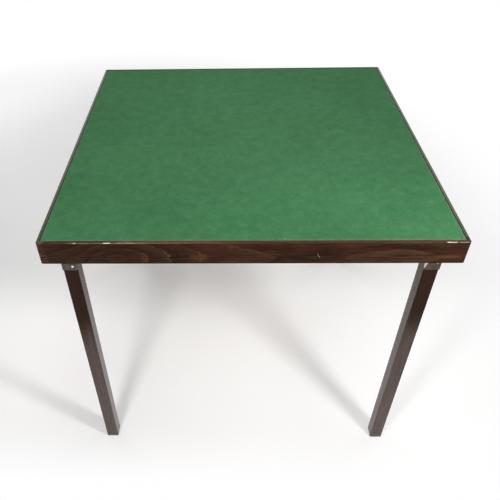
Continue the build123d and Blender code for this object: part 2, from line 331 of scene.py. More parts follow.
# Figure: width of a year ring and the part of it where growth ends, length over which
# the rings' line dips at the heart, middle, reach and core of the arches past the heart,
# how far the grain wanders and wobbles, and the half width of the light lines
YEAR = 0.0155
YEAR_END = 0.94
DIP_REACH = 0.165
ARCHES = (0.06, 0.2, 0.14)
AHEAD = (0.0, 0.06)
BEHIND = (0.02, -0.03)
HEARTWOOD = (0.016, 0.012)
WANDER = 0.008
WOBBLE, ARCH_WOBBLE, AHEAD_WOBBLE = 0.0006, 0.003, 0.005
LEANING, LEANS_FROM, LEANS_TO = 0.02, -0.01, -0.08
INWARD = 0.8
LINE_WIDTH = (0.0019, 0.0003)

# Strength of the light lines: slope at which an arch's tip ends and is full, strength of
# tips behind the heart, of the faint lines, and how much fainter they are in places
TIP_SLOPE = (0.75, 0.15)
TIP_LEAST = 0.12
FAINT = {"base": 0.1, "patches": 0.3}
DULLED = 0.6

# Wear, partly a painted highlight on the worn arris: where each mark fades out and where
# it is full, or how far it fades at its start and end. Widths are from the mark's middle or
# edge, cores are shares of its reach, and worn and dirty are values of wear; the dirt under
# the edge is also painted shade.
RAIL_THICKNESS = 0.02
RIM_TOP_IN = (0.001, 0.002)
RIM_TOP_UP = (-0.0012, -0.0004)
WORN_WIDTH = (0.0013, 0.0007)
THIN_WIDTH = (0.0016, 0.0008)
NICK_WIDTH = (0.0016, 0.0006)
TICK_WIDTH = (0.0009, 0.0003)
TICK_HEIGHT = (0.0055, 0.004)
TICK_DEPTH = (0.003, 0.002)
TICK_SLANT = 0.55
DIRT_AND_SHADE_BAND, DIRT_AND_SHADE_FADES = (-0.003, -0.002), (0.002, 0.0008)
PALE_CORE, PALE_CORE_UP, PALE_WOBBLE = 0.3, 0.2, 0.8
SPOT_CORE = 0.4
DEEP_FADES = (0.1, 0.1)
GRIMY_AND_SHADED_FADES = (0.02, 0.02)
HANDLED_FADES = (0.012, 0.2)
WORN, DIRTY_AND_SHADED = (0.5, 0.95), (0.6, 0.95)
GRIME_DULLS = 0.85
INSIDE = (RAIL_THICKNESS - 0.0008, RAIL_THICKNESS - 0.0002)
END_DEPTH = (0.0006, 0.0002)

# Each rail's figure, stain and wear. Places are along the rail from its middle, and
# heights are up from its top edge, so they are negative.
# heart: place and height at which the rings' line comes up to the face, and its swing
# waves: place, reach and depth of that line's later dips; phase: of the rings
# polish: gloss of the rim's top at the rail's two ends; dust and reflection: share of
# green dust there, also a painted reflection that lightens the far rims
# pale: place, reach, height, half height and strength of the paler patches
# ticks: place and height of slanting scratches; deep: start and end of deeper stain
# rubbed: start and end of the edge that hands wore; grimy and shaded: start and end of
# dirt and a painted shadow of the gap beside the cloth on the rim's top
# spots: place, reach and strength of bits of the edge that are worn more, or less, and
# so carry more or less of the painted highlight
# nicks: places of dark gaps in the worn edge
RAIL_LOOKS = {
    "front": {
        "heart": (-0.24, -0.036, 0.0735),
        "waves": ((0.26, 0.09, 0.005), (0.03, 0.08, -0.0017), (0.25, 0.3, 0.0008)),
        "phase": 0.0074,
        "polish": (0.22, 0.22),
        "dust_and_reflection": 0.0,
        "pale": (
            (0.35, 0.03, -0.033, 0.0075, 0.8),
            (-0.191, 0.008, -0.034, 0.014, 0.5),
            (-0.092, 0.022, -0.035, 0.011, 0.45),
            (0.04, 0.02, -0.027, 0.003, 0.5),
        ),
        "ticks": ((0.12, -0.031),),
        "deep": (-0.38, -0.15),
        "rubbed": (-0.315, -0.16),
        "grimy_and_shaded": (-0.38, -0.245),
        "spots": (
            (-0.311, 0.004, 0.24),
            (-0.254, 0.008, 0.36),
            (-0.06, 0.13, -0.09),
            (0.2, 0.2, -0.1),
            (0.3465, 0.012, 0.3),
            (0.368, 0.012, 0.16),
        ),
        "nicks": (-0.345, 0.357),
    },
    "right": {
        "heart": (0.12, -0.02, 0.07),
        "waves": ((-0.2, 0.12, 0.006),),
        "phase": 0.003,
        "polish": (0.35, 1.0),
        "dust_and_reflection": 0.45,
        "pale": ((-0.3, 0.05, -0.026, 0.009, 0.6),),
        "ticks": ((0.04, -0.02),),
        "deep": (-0.1, 0.15),
        "rubbed": (-0.3, 0.2),
        "grimy_and_shaded": (-0.38, -0.33),
        "spots": ((0.2, 0.03, 0.12),),
        "nicks": (0.1,),
    },
    "back": {
        "heart": (-0.05, -0.042, 0.072),
        "waves": ((0.26, 0.1, 0.006),),
        "phase": 0.009,
        "polish": (0.25, 0.25),
        "dust_and_reflection": 0.45,
        "pale": ((0.2, 0.06, -0.03, 0.009, 0.6),),
        "ticks": ((-0.26, -0.034),),
        "deep": (0.2, 0.38),
        "rubbed": (-0.36, 0.2),
        "grimy_and_shaded": (-0.38, -0.37),
        "spots": ((-0.2, 0.03, 0.1), (0.0, 0.9, -0.06)),
        "nicks": (-0.18,),
    },
    "left": {
        "heart": (-0.16, -0.03, 0.075),
        "waves": ((0.18, 0.15, 0.005),),
        "phase": 0.0,
        "polish": (1.0, 0.25),
        "dust_and_reflection": 0.45,
        "pale": ((0.05, 0.06, -0.018, 0.008, 0.6),),
        "ticks": ((0.22, -0.016), (0.226, -0.03)),
        "deep": (-0.38, -0.3),
        "rubbed": (0.0, 0.2),
        "grimy_and_shaded": (0.335, 0.38),
        "spots": ((0.3, 0.02, 0.14),),
        "nicks": (0.31,),
    },
}


def year_rings(s, u, v, w, noise, marks, look):
    """Figure of a flat-sawn board. Its rings lie round a line that comes up to the face
    at the heart, so they show as nested arches there and run out along the board.
    Gives the rings, the share of the light line at each year's end, and how much the
    grain wobbles."""
    heart_u, heart_w, swing = look["heart"]
    past = s.sub(u, heart_u)
    at_arches = s.near(past, *ARCHES)
    ahead = s.mul(s.between(past, *AHEAD), at_arches)
    wander = s.sway(noise["wander"], WANDER)
    play = s.add(s.mul(at_arches, ARCH_WOBBLE), s.mul(ahead, AHEAD_WOBBLE))
    play = s.add(WOBBLE, play)
    wobble = s.sway(noise["ripple"], play)

    # Depth and height of the place from the rings' line
    turned_in = s.math("TANH", s.mul(past, 1 / DIP_REACH))
    sunk = s.mul(turned_in, swing)
    for centre, reach, dip in look["waves"]:
        offset = s.mul(s.sub(u, centre), 1 / reach)
        wave = s.math("EXPONENT", s.mul(s.mul(offset, offset), -1))
        sunk = s.sub(sunk, s.mul(wave, dip))
    depth = s.add(s.add(sunk, s.mul(v, INWARD)), wobble)
    leaning = s.mul(s.between(past, LEANS_FROM, LEANS_TO), LEANING)
    height = s.add(s.add(s.sub(w, heart_w), leaning), wander)
    radius = s.diagonal(height, depth)
    year = s.math("FRACT", s.mul(s.add(radius, look["phase"]), 1 / YEAR))
    third = s.math("FRACT", s.mul(radius, 3 / YEAR))

    # The end of each year's growth: a thin light line as wide everywhere on the face,
    # strongest at the arches' tips and weakest behind the heart and in its middle
    steep = s.mul(s.rest(s.mul(turned_in, turned_in)), swing / DIP_REACH)
    climb = s.diagonal(height, s.mul(depth, steep))
    off_line = s.mul(s.size(s.sub(year, YEAR_END)), s.mul(radius, YEAR))
    line = s.between(s.div(off_line, climb), *LINE_WIDTH)
    slope = s.div(s.size(height), s.size(depth))
    ahead_most = s.add(TIP_LEAST, s.mul(ahead, 1 - TIP_LEAST))
    tip = s.mul(s.between(slope, *TIP_SLOPE), ahead_most)
    behind = s.between(past, *BEHIND)
    faint = s.weigh(FAINT, patches=marks["faint"])
    faint = s.mul(faint, s.rest(s.mul(behind, DULLED)))
    glow = s.most(faint, s.mul(tip, marks["bright"]))
    middle = s.between(radius, *HEARTWOOD)
    glow = s.mul(glow, s.rest(s.mul(middle, DULLED)))
    return {"year": year, "third": third}, s.mul(line, glow), wobble


def stained_face(s, u, v, w, noise, marks, look):
    """Colour of a rail's faces before wear."""
    rings, line, wobble = year_rings(s, u, v, w, noise, marks, look)
    tone = s.weigh(RAIL_TONE, fine=noise["fine"], streak=noise["streak"], **rings)
    colour = s.ramp(tone, STAIN)
    colour = s.cover(colour, marks["blush"], *BLUSH)
    colour = s.cover(colour, s.span(u, *look["deep"], *DEEP_FADES), *DEEPER)
    colour = s.mix(line, colour, STAIN_ORANGE)
    for centre, reach, level, half_height, strength in look["pale"]:
        along = s.near(u, centre, reach, reach * PALE_CORE)
        wavy = s.add(w, s.mul(wobble, PALE_WOBBLE))
        up = s.near(wavy, level, half_height, half_height * PALE_CORE_UP)
        share = s.mul(s.mul(s.mul(along, up), strength), marks["broken"])
        colour = s.mix(share, colour, STAIN_ORANGE)
    for centre, level in look["ticks"]:
        upright = s.add(u, s.mul(s.sub(w, level), TICK_SLANT))
        tick = s.mul(s.near(upright, centre, *TICK_WIDTH), s.near(w, level, *TICK_HEIGHT))
        tick = s.mul(tick, s.between(v, *TICK_DEPTH))
        colour = s.cover(colour, tick, *TICK)
    return s.cover(colour, marks["pores"], *PORE)


def worn_edge(s, u, v, w, noise, look, colour):
    """Wear along a rail's top outer edge, partly a painted highlight on its arris, with dirt
    and painted shade under it, and dirt, dust and painted shade, reflection and sheen on the
    rim's top. Gives the new colour, the share worn to bare wood, and the gloss of the rim's
    top."""
    inward, down = FROM_EDGE
    from_edge = s.most(s.mul(v, inward), s.mul(w, down))
    rim_top = s.mul(s.between(v, *RIM_TOP_IN), s.between(w, *RIM_TOP_UP))
    # Grime on the rim's top, also a painted shadow of the gap beside the cloth
    grimy_and_shaded = s.span(u, *look["grimy_and_shaded"], *GRIMY_AND_SHADED_FADES)
    colour = s.cover(colour, s.mul(rim_top, grimy_and_shaded), *RIM_GRIME_AND_SHADE)
    # Green dust, also a painted reflection that lightens the far rims
    colour = s.mix(s.mul(rim_top, look["dust_and_reflection"]), colour, GREEN_DUST_AND_REFLECTION)

    handled = s.span(u, *look["rubbed"], *HANDLED_FADES)
    wear = s.weigh(WEAR, rubbed=noise["rubbed"], coarse=noise["coarse"], handled=handled)
    for centre, reach, strength in look["spots"]:
        wear = s.add(wear, s.mul(s.near(u, centre, reach, reach * SPOT_CORE), strength))
    worn = s.mul(s.between(wear, *WORN), s.between(from_edge, *WORN_WIDTH))
    for nick in look["nicks"]:
        worn = s.mul(worn, s.rest(s.near(u, nick, *NICK_WIDTH)))
    thin = s.mul(s.between(from_edge, *THIN_WIDTH), s.weigh(THIN, handled=handled))
    # Thinner stain on the handled rim's top, also a painted sheen that lightens it
    thin = s.most(thin, s.mul(s.mul(rim_top, s.sub(handled, grimy_and_shaded)), THIN_RIM_AND_SHEEN))
    colour = s.mix(thin, colour, STAIN_THIN)
    # Dirt just under the worn edge, also a painted shade there
    under_edge = s.span(w, *DIRT_AND_SHADE_BAND, *DIRT_AND_SHADE_FADES)
    colour = s.mix(s.mul(under_edge, s.between(wear, *DIRTY_AND_SHADED)), colour, EDGE_DIRT_AND_SHADE)
    # Worn to bare wood along the edge, also a painted highlight on its rounded arris
    colour = s.mix(worn, colour, BARE_WOOD_AND_HIGHLIGHT)

    start, end = look["polish"]
    polish = s.add(s.mul(u, (end - start) / (2 * half_side)), (start + end) / 2)
    polish = s.mul(s.mul(rim_top, s.rest(s.mul(grimy_and_shaded, GRIME_DULLS))), polish)
    return colour, worn, polish


def rail_material(turn, side, look):
    """Stained and varnished board. In its own axes u runs along the rail from its middle,
    v into it from its outer face, and w up from its top edge."""
    s = Shader(side + "_rail_wood", Coat_Roughness=0.25, **VARNISH)
    turned = s.shifted(s.place(), turn=-turn * QUARTER_TURN)
    local = s.shifted(turned, move=(0, half_side, -top_z))
    u, v, w = s.split(local)
    seed = s.shifted(local, move=tuple(step * turn for step in SEED_STEP))
    noise = s.noises(seed, RAIL_NOISE)
    marks = s.marks(noise, RAIL_MARKS)
    colour = stained_face(s, u, v, w, noise, marks, look)
    colour, worn, polish = worn_edge(s, u, v, w, noise, look, colour)

    # Inside the frame the stain was wiped on thinly
    inside = s.between(v, *INSIDE)
    colour = s.mix(s.mul(inside, marks["wiped"]), colour, STAIN_WIPED)

    # End grain drinks more stain and has paler worn patches
    end = s.between(s.sub(half_side, u), *END_DEPTH)
    colour = s.cover(colour, end, s.ramp(s.noise(local, *END_NOISE), END_GRAIN), END_SHARE)

    relief = s.weigh(
        WOOD_HEIGHTS, grain=noise["fine"], pores=marks["pores"], dents=marks["dents"]
    )
    normal = s.bump(relief, WOOD_RELIEF)
    rough = s.weigh(RAIL_ROUGHNESS, fine=noise["fine"], worn=worn)
    s.set(Base_Color=colour, Roughness=rough, Coat_Weight=polish, Normal=normal)
    return s.material


for turn, side in enumerate(RAILS):
    dress(side + "_rail", rail_material(turn, side, RAIL_LOOKS[side]))


# Legs

LEG_STAIN = (
    (0.35, (0.0155, 0.0052, 0.0018)),
    (0.5, (0.0215, 0.0073, 0.0026)),
    (0.65, (0.029, 0.0104, 0.0042)),
)
LEG_PORE = ((0.008, 0.004, 0.0025), 0.5)
# Dust and a painted reflection of the pale floor on the legs' lower parts and side faces
LEG_DUST_AND_REFLECTION = (0.132, 0.086, 0.068)
LEG_RUBBED = ((0.2, 0.12, 0.08), 0.6)

# Scale across the leg and up it, detail, roughness
LEG_NOISE = {
    "grain": ((320, 320, 9), 3, 0.6),
    "broad": ((60, 60, 2.2), 3),
    "pores": ((1300, 1300, 40), 1),
    "rub": ((120, 120, 35), 4, 0.7),
    "dents": ((70, 70, 40), 1),
}
LEG_MARKS = {
    "pores": ("pores", 0.6, 0.7),
    "rubbed": ("rub", 0.58, 0.72),
    "foot": ("rub", 0.35, 0.6),
    "dents": ("dents", 0.72, 0.84),
}
SPECKLE_NOISE = (330, 3, 0.7)
SEED_SCALE = (9, 7)

# Weights in the stain's tone, in the dust and painted reflection of the pale floor all over
# and on the inner and outer faces, in its mottling, and in the varnish's roughness and gloss
LEG_TONE = {"grain": 0.5, "broad": 0.5}
DUST_AND_REFLECTION = {"lower": 0.42, "lowest": 0.2}
ASIDE_LESS_LOWER_DUST_AND_REFLECTION, ASIDE_DUST_AND_REFLECTION = 0.35, 0.18
MOTTLE = {"base": -0.7, "grain": 1.3, "speckle": 2.1}
LEG_ROUGHNESS = {"base": 0.13, "grain": 0.08, "worn": 0.25}
ASIDE_GLOSS, LOWER_GLOSS = 0.38, 0.42
FOOT_WORN = 0.8

# Where each mark fades out and where it is full: heights of the greyed varnish and of
# the thicker dust, both partly a painted reflection of the pale floor, a long edge's
# distance from the leg's middle, measured along both sides, and height of the worn foot
GREYED_AND_REFLECTING = (0.47, 0.36)
LOWEST_DUST_AND_REFLECTION = (0.34, 0.1)
LEG_EDGE = (0.0266, 0.0273)
FOOT = (0.012, 0.001)

# How far the top of the dust and painted reflection wanders, and how squarely a face
# must face to the side
DUST_AND_REFLECTION_WANDERS = 0.1
FACES_ASIDE = (0.5, 0.9)


def leg_material(corner):
    """Straight grain up the leg, stained and varnished, paler and greyer lower down with dust
    and a painted reflection of the pale floor, with edges and foot rubbed paler. Inner and
    outer faces carry that dust and painted reflection and are glossy all the way up."""
    low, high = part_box(corner + "_leg")
    x, y = (low.x + high.x) / 2, (low.y + high.y) / 2
    s = Shader(corner + "_leg_wood", Coat_Roughness=0.2, **VARNISH)
    local = s.shifted(s.place(), move=(-x, -y, 0))
    across_x, across_y, up = s.split(local)
    seed = s.shifted(local, move=(x * SEED_SCALE[0], y * SEED_SCALE[1], 0))
    noise = s.noises(seed, LEG_NOISE)
    grain, broad = noise["grain"], noise["broad"]
    marks = s.marks(noise, LEG_MARKS)
    colour = s.ramp(s.weigh(LEG_TONE, grain=grain, broad=broad), LEG_STAIN)
    colour = s.cover(colour, marks["pores"], *LEG_PORE)

    # Dust and a greyed varnish, with a painted reflection of the pale floor in them, both
    # broken up by grain and speckle
    height = s.add(up, s.sway(broad, DUST_AND_REFLECTION_WANDERS))
    aside = s.between(s.size(s.facing()[0]), *FACES_ASIDE)
    lower = s.between(height, *GREYED_AND_REFLECTING)
    dust_and_reflection = s.weigh(DUST_AND_REFLECTION, lower=lower, lowest=s.between(height, *LOWEST_DUST_AND_REFLECTION))
    dust_and_reflection = s.mul(dust_and_reflection, s.rest(s.mul(aside, ASIDE_LESS_LOWER_DUST_AND_REFLECTION)))
    dust_and_reflection = s.most(dust_and_reflection, s.mul(aside, ASIDE_DUST_AND_REFLECTION))
    mottle = s.weigh(MOTTLE, grain=grain, speckle=s.noise(local, *SPECKLE_NOISE))
    colour = s.mix(s.mul(dust_and_reflection, mottle), colour, LEG_DUST_AND_REFLECTION)

    # Long edges and the foot, rubbed
    toward_corner = s.add(s.size(across_x), s.size(across_y))
    worn = s.mul(s.between(toward_corner, *LEG_EDGE), marks["rubbed"])
    foot = s.mul(s.between(up, *FOOT), marks["foot"])
    worn = s.most(worn, s.mul(foot, FOOT_WORN))
    colour = s.cover(colour, worn, *LEG_RUBBED)

    relief = s.weigh(WOOD_HEIGHTS, grain=grain, pores=marks["pores"], dents=marks["dents"])
    normal = s.bump(relief, WOOD_RELIEF)
    rough = s.weigh(LEG_ROUGHNESS, grain=grain, worn=worn)
    polish = s.mul(s.mul(lower, s.rest(aside)), LOWER_GLOSS)
    polish = s.mul(s.most(s.mul(aside, ASIDE_GLOSS), polish), mottle)
    s.set(Base_Color=colour, Roughness=rough, Coat_Weight=polish, Normal=normal)
    return s.material


for corner in CORNERS:
    dress(corner + "_leg", leg_material(corner))


# Unfinished wood under the top. Colours go from pale to dark.

PLY = ((0.54, 0.385, 0.245), (0.46, 0.3, 0.175), (0.33, 0.185, 0.095))
SOFTWOOD = ((0.63, 0.46, 0.28), (0.56, 0.37, 0.2), (0.36, 0.19, 0.085))
BARE_PORE = ((0.2, 0.11, 0.06), 0.4)
BARE_GRIME = ((0.17, 0.11, 0.07), 0.3)
BARE_STOPS = (0.3, 0.5, 0.8)
BARE_NOISE = {
    "fibre": ((9, 520, 520), 3, 0.65),
    "broad": ((2.5, 22, 22), 3),
    "pores": ((45, 1400, 1400), 1),
    "grime": (11, 5, 0.6),
}
BARE_MARKS = {"pores": ("pores", 0.62, 0.7), "grime": ("grime", 0.52, 0.78)}

# Lean of the years' faces, and start, end and fades of the year's late growth
YEARS_LEAN = 0.4
LATE = (0.94, 0.97, 0.69, 0.03)


def bare_wood_material(name, colours, turn, years, swell, bend, contrast):
    """Grain lines along X, or along Y with a quarter turn, with fibres, pores and a
    little grime. There are so many years to a metre. A noise of the scale swell bends
    their lines by up to so many years."""
    s = Shader(name, Roughness=0.62, Specular_IOR_Level=0.25)
    local = s.shifted(s.place(), turn=turn)
    noise = s.noises(local, BARE_NOISE)
    marks = s.marks(noise, BARE_MARKS)
    across, up = s.split(local)[1:3]
    bent = s.mul(s.noise(local, swell, detail=2, roughness=0.4), bend)
    leaning = s.add(across, s.mul(up, YEARS_LEAN))
    year = s.math("FRACT", s.add(s.mul(leaning, years), bent))
    tone = {"fibre": 0.5, "broad": 0.4, "late": contrast}
    late = s.span(year, *LATE)
    figure = s.weigh(tone, fibre=noise["fibre"], broad=noise["broad"], late=late)
    colour = s.ramp(figure, tuple(zip(BARE_STOPS, colours)))
    colour = s.cover(colour, marks["pores"], *BARE_PORE)
    colour = s.cover(colour, marks["grime"], *BARE_GRIME)
    relief = s.weigh(BARE_HEIGHTS, fibre=noise["fibre"], pores=marks["pores"])
    s.set(Base_Color=colour, Normal=s.bump(relief, WOOD_RELIEF))
    return s.material


plywood = bare_wood_material(
    "plywood", PLY, turn=0.0, years=6, swell=(0.9, 5, 5), bend=7, contrast=0.11
)
softwood = bare_wood_material(
    "batten_softwood",
    SOFTWOOD,
    turn=QUARTER_TURN,
    years=150,
    swell=(1.6, 9, 9),
    bend=3,
    contrast=0.13,
)
dress("top_panel", plywood)
dress("left_batten", softwood)
dress("right_batten", softwood)


# Steel

RUST = (0.11, 0.05, 0.03)
STAINED = (RUST, 0.35)
# Colour and strength of the painted highlights on the channels
PAINTED_HIGHLIGHT = ((0.7, 0.68, 0.62), 0.85)
HIGHLIGHT_WAVES, HIGHLIGHT_CORE = 0.5, 0.6
STEEL_STOPS = (0.35, 0.7)
STEEL_ROUGHNESS = {"cloud": 0.18, "specks": 0.25}
# How squarely a face must face to the side to carry the painted highlight of a domed head
CROWN_HIGHLIGHT_RANGE = (0.968, 0.99)
STEEL_NOISE = {
    "cloud": (120, 5, 0.65),
    "fine": ((2600, 900, 2600), 2),
    "specks": (520, 3, 0.7),
    "stain": (60, 4),
}
STEEL_MARKS = {"specks": ("specks", 0.62, 0.72), "stain": ("stain", 0.5, 0.72)}

# Places and sizes of the painted highlights on each channel: bright patches that stand
# for reflections
CHANNEL_HIGHLIGHTS = {
    "front_left": (),
    "front_right": (
        ((0.3238, -0.348, 0.6045), 0.0055),
        ((0.3255, -0.3547, 0.604), 0.004),
        ((0.3247, -0.3547, 0.5985), 0.003),
        ((0.3243, -0.3547, 0.5945), 0.002),
        ((0.3468, -0.3547, 0.6035), 0.0013),
    ),
    "back_right": (((0.352, 0.3235, 0.597), 0.005),),
    "back_left": (((-0.3235, 0.353, 0.591), 0.0045),),
}


def steel_material(name, dark, light, roughness, rust=0.3, crown_highlight=None, highlights=()):
    """Pressed steel: dull skin with fine scratches, stains and small rust specks.
    Where a crown colour is given, the middles of domed heads are painted to it as a
    highlight.
    Each highlight is a place and a size of a bright patch: a painted highlight."""
    s = Shader(name, Metallic=1.0)
    place = s.place()
    noise = s.noises(place, STEEL_NOISE)
    marks = s.marks(noise, STEEL_MARKS)
    cloud, specks = noise["cloud"], marks["specks"]
    colour = s.ramp(cloud, tuple(zip(STEEL_STOPS, (dark, light))))
    colour = s.cover(colour, specks, RUST, rust)
    colour = s.cover(colour, marks["stain"], *STAINED)
    # Painted highlight on the middles of domed heads
    if crown_highlight is not None:
        facing_x, facing_y = s.facing()[:2]
        outward = s.most(s.size(facing_x), s.size(facing_y))
        colour = s.mix(s.between(outward, *CROWN_HIGHLIGHT_RANGE), colour, crown_highlight)
    # Painted highlights: bright patches that stand for reflections on the channel
    for middle, size in highlights:
        off = s.add(s.away(place, middle), s.sway(cloud, HIGHLIGHT_WAVES * size))
        colour = s.cover(colour, s.between(off, size, size * HIGHLIGHT_CORE), *PAINTED_HIGHLIGHT)
    rough = s.add(roughness, s.weigh(STEEL_ROUGHNESS, cloud=cloud, specks=specks))
    relief = s.weigh(STEEL_HEIGHTS, fine=noise["fine"], specks=specks)
    s.set(Base_Color=colour, Roughness=rough, Normal=s.bump(relief, STEEL_RELIEF))
    return s.material


bracket_steel = steel_material("bracket_steel", (0.27, 0.25, 0.24), (0.45, 0.43, 0.41), 0.3)
# Dark rivets with a painted highlight on their domes
rivet_steel = steel_material(
    "rivet_steel", (0.04, 0.043, 0.037), (0.1, 0.1, 0.09), 0.15, 0.15, (0.85, 0.85, 0.8)
)
spacer_steel = steel_material("spacer_steel", (0.22, 0.2, 0.18), (0.4, 0.37, 0.34), 0.25)
spring_steel = steel_material("spring_steel", (0.13, 0.14, 0.17), (0.26, 0.27, 0.31), 0.24)
screw_steel = steel_material("screw_steel", (0.48, 0.41, 0.29), (0.68, 0.6, 0.45), 0.26)
for corner in CORNERS:
    channel_steel = steel_material(
        corner + "_channel_steel",
        dark=(0.08, 0.058, 0.053),
        light=(0.16, 0.124, 0.115),
        roughness=0.32,
        highlights=CHANNEL_HIGHLIGHTS[corner],
    )
    dress(corner + "_leg_channel", channel_steel)
    dress(corner + "_corner_bracket", bracket_steel)
    dress(corner + "_channel_rivets", rivet_steel)
    dress(corner + "_pivot_rivet", rivet_steel)
    dress(corner + "_pivot_spacers", spacer_steel)
    dress(corner + "_leaf_spring", spring_steel)
dress("bracket_screws", screw_steel)
dress("spring_rivets", rivet_steel)


# Baize

BAIZE_GREENS = (
    (0.608, (0.025, 0.106, 0.038)),
    (0.73, (0.036, 0.136, 0.054)),
    (0.852, (0.05, 0.17, 0.073)),
)
BAIZE_DUST = ((0.115, 0.145, 0.085), 0.55)
# Painted shade along the cloth's edge, where it rolls over the panel
BAIZE_EDGE_SHADE = ((0.03, 0.04, 0.017), 0.7)
LINT_COLOUR = ((0.6, 0.66, 0.55), 0.42)
LINT_CORE = 0.3
BAIZE_TONE = {"broad": 0.2, "cloud": 0.55, "nap": 0.3, "fibre": 0.35}
BAIZE_NOISE = {
    "broad": (5, 2),
    "cloud": (40, 5, 0.88),
    "nap": (900, 3, 0.7),
    "weave": ((700, 1500, 700), 2),
}
BAIZE_MARKS = {"dusty": ("cloud", 0.3, 0.6)}
FIBRE_SCALE = (260, 1900, 260)
FIBRE_TURNS = (0.6, -0.9)

# Distance from the rim at which its dust and its painted shade fade out, and are full
DUST_WIDTH = (0.006, 0.001)
EDGE_SHADE_WIDTH = (0.0016, 0.0006)

# Place and size of each speck of lint
LINT = (((0.059, -0.3688), 0.0016), ((-0.212, 0.118), 0.0009), ((0.148, 0.21), 0.0008))


def baize_material():
    """Wool baize: green, faintly mottled, with a short nap, dusty along the rims, and with a
    painted shade along its edge.
    """
    s = Shader("baize_cloth", Roughness=0.95, Specular_IOR_Level=0.08)
    s.set(Sheen_Weight=0.16, Sheen_Roughness=0.5, Sheen_Tint=(0.5, 0.85, 0.55))
    place = s.place()
    x, y = s.split(place)[:2]
    noise = s.noises(place, BAIZE_NOISE)
    one_way, other_way = (
        s.noise(s.shifted(place, turn=turn, scale=FIBRE_SCALE), scale=1.0, detail=2)
        for turn in FIBRE_TURNS
    )
    fibre = s.most(one_way, other_way)
    broad, cloud, nap = noise["broad"], noise["cloud"], noise["nap"]
    tone = s.weigh(BAIZE_TONE, broad=broad, cloud=cloud, nap=nap, fibre=fibre)
    colour = s.ramp(tone, BAIZE_GREENS)
    from_rim = s.sub(baize_high.x, s.most(s.size(x), s.size(y)))
    dusty = s.mul(s.between(from_rim, *DUST_WIDTH), s.marks(noise, BAIZE_MARKS)["dusty"])
    colour = s.cover(colour, dusty, *BAIZE_DUST)
    # Painted shade along the cloth's edge, where it rolls over the panel
    colour = s.cover(colour, s.between(from_rim, *EDGE_SHADE_WIDTH), *BAIZE_EDGE_SHADE)
    for centre, size in LINT:
        lint = s.between(s.away_level(x, y, centre), size, size * LINT_CORE)
        colour = s.cover(colour, lint, *LINT_COLOUR)
    relief = s.weigh(BAIZE_HEIGHTS, weave=noise["weave"], fibre=fibre, nap=nap)
    s.set(Base_Color=colour, Normal=s.bump(relief, BAIZE_RELIEF))
    return s.material


def make_object(name, mesh, material):
    """Turns a bmesh into an object of the scene with one smooth material."""
    data = bpy.data.meshes.new(name)
    mesh.to_mesh(data)
    mesh.free()
    for face in data.polygons:
        face.use_smooth = True
    data.materials.append(material)
    piece = bpy.data.objects.new(name, data)
    bpy.context.scene.collection.objects.link(piece)
    return piece


def quarter_arc(radius, steps):
    """Points of a quarter circle as run and rise, from the start of its bend."""
    for k in range(steps + 1):
        angle = k / steps * QUARTER_TURN
        yield radius * math.sin(angle), radius * (1 - math.cos(angle))


def baize_rings(roll, arc_steps, hem_inset, hem_drop):
    """Half width and height of each ring of the cloth, from its flat part to its hem.
    The hem's inside lies in by a share of the cloth's height over the panel, and its
    top lies so many rolls down."""
    inner = baize_high.x - roll
    rings = [(inner + run, baize_high.z - fall) for run, fall in quarter_arc(roll, arc_steps)]
    rings.append((baize_high.x, (baize_high.z + baize_low.z) / 2))
    rings.append((baize_high.x, baize_low.z))
    hem_inside = baize_high.x - (baize_high.z - panel_top) * hem_inset
    rings.append((hem_inside, baize_low.z))
    rings.append((hem_inside, baize_high.z - hem_drop * roll))
    return rings


def make_baize():
    """The playing cloth: a sheet over the panel, rolled over its edges and turned down."""
    steps = 150
    rings = baize_rings(roll=0.0016, arc_steps=5, hem_inset=0.55, hem_drop=2.2)
    flat, level = rings[0]
    places = [-flat + 2 * flat * i / steps for i in range(steps + 1)]
    mesh = bmesh.new()
    grid = [[mesh.verts.new((x, y, level)) for y in places] for x in places]
    for row, next_row in zip(grid, grid[1:]):
        for j in range(steps):
            mesh.faces.new((row[j], next_row[j], next_row[j + 1], row[j + 1]))
    border = [row[0] for row in grid[:-1]] + grid[-1][:-1]
    border += [row[-1] for row in grid[:0:-1]] + grid[0][:0:-1]
    last = border
    for half_width, z in rings[1:]:
        scale = half_width / flat
        ring = [mesh.verts.new((v.co.x * scale, v.co.y * scale, z)) for v in border]
        for k in range(len(ring)):
            n = (k + 1) % len(ring)
            mesh.faces.new((last[k], ring[k], ring[n], last[n]))
        last = ring
    bmesh.ops.recalc_face_normals(mesh, faces=mesh.faces)
    piece = make_object("baize_cloth", mesh, baize_material())
    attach(piece, "root")
    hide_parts("baize")


make_baize()


# Stage, light and camera

FLOOR_TONES = ((0.3, (0.885, 0.89, 0.9)), (0.7, (0.925, 0.935, 0.95)))

# Emission that lifts the floor: everywhere, less of it under the table as a painted
# shadow, more beside it as painted light
FLOOR_LIFT, UNDER_PAINTED_SHADE, BESIDE_PAINTED_LIGHT = 0.12, 0.055, 0.1

# Centres and distances at which parts of the floor fade out and are full
WHITE_CENTRE, WHITE_REACH, WHITE_FRONT = (-0.55, 0.5), (0.85, 1.85), (-0.3, -0.5)
UNDER_CENTRE, UNDER_REACH = (-0.2, 0.32), (0.42, 0.12)
BESIDE_CENTRE, BESIDE_REACH, BESIDE_FRONT = -0.1, (0.25, 0.55), (0.35, 0.05)
WORLD_LIGHT = 0.22
LAMP_COLOUR = (1.0, 0.985, 0.965)

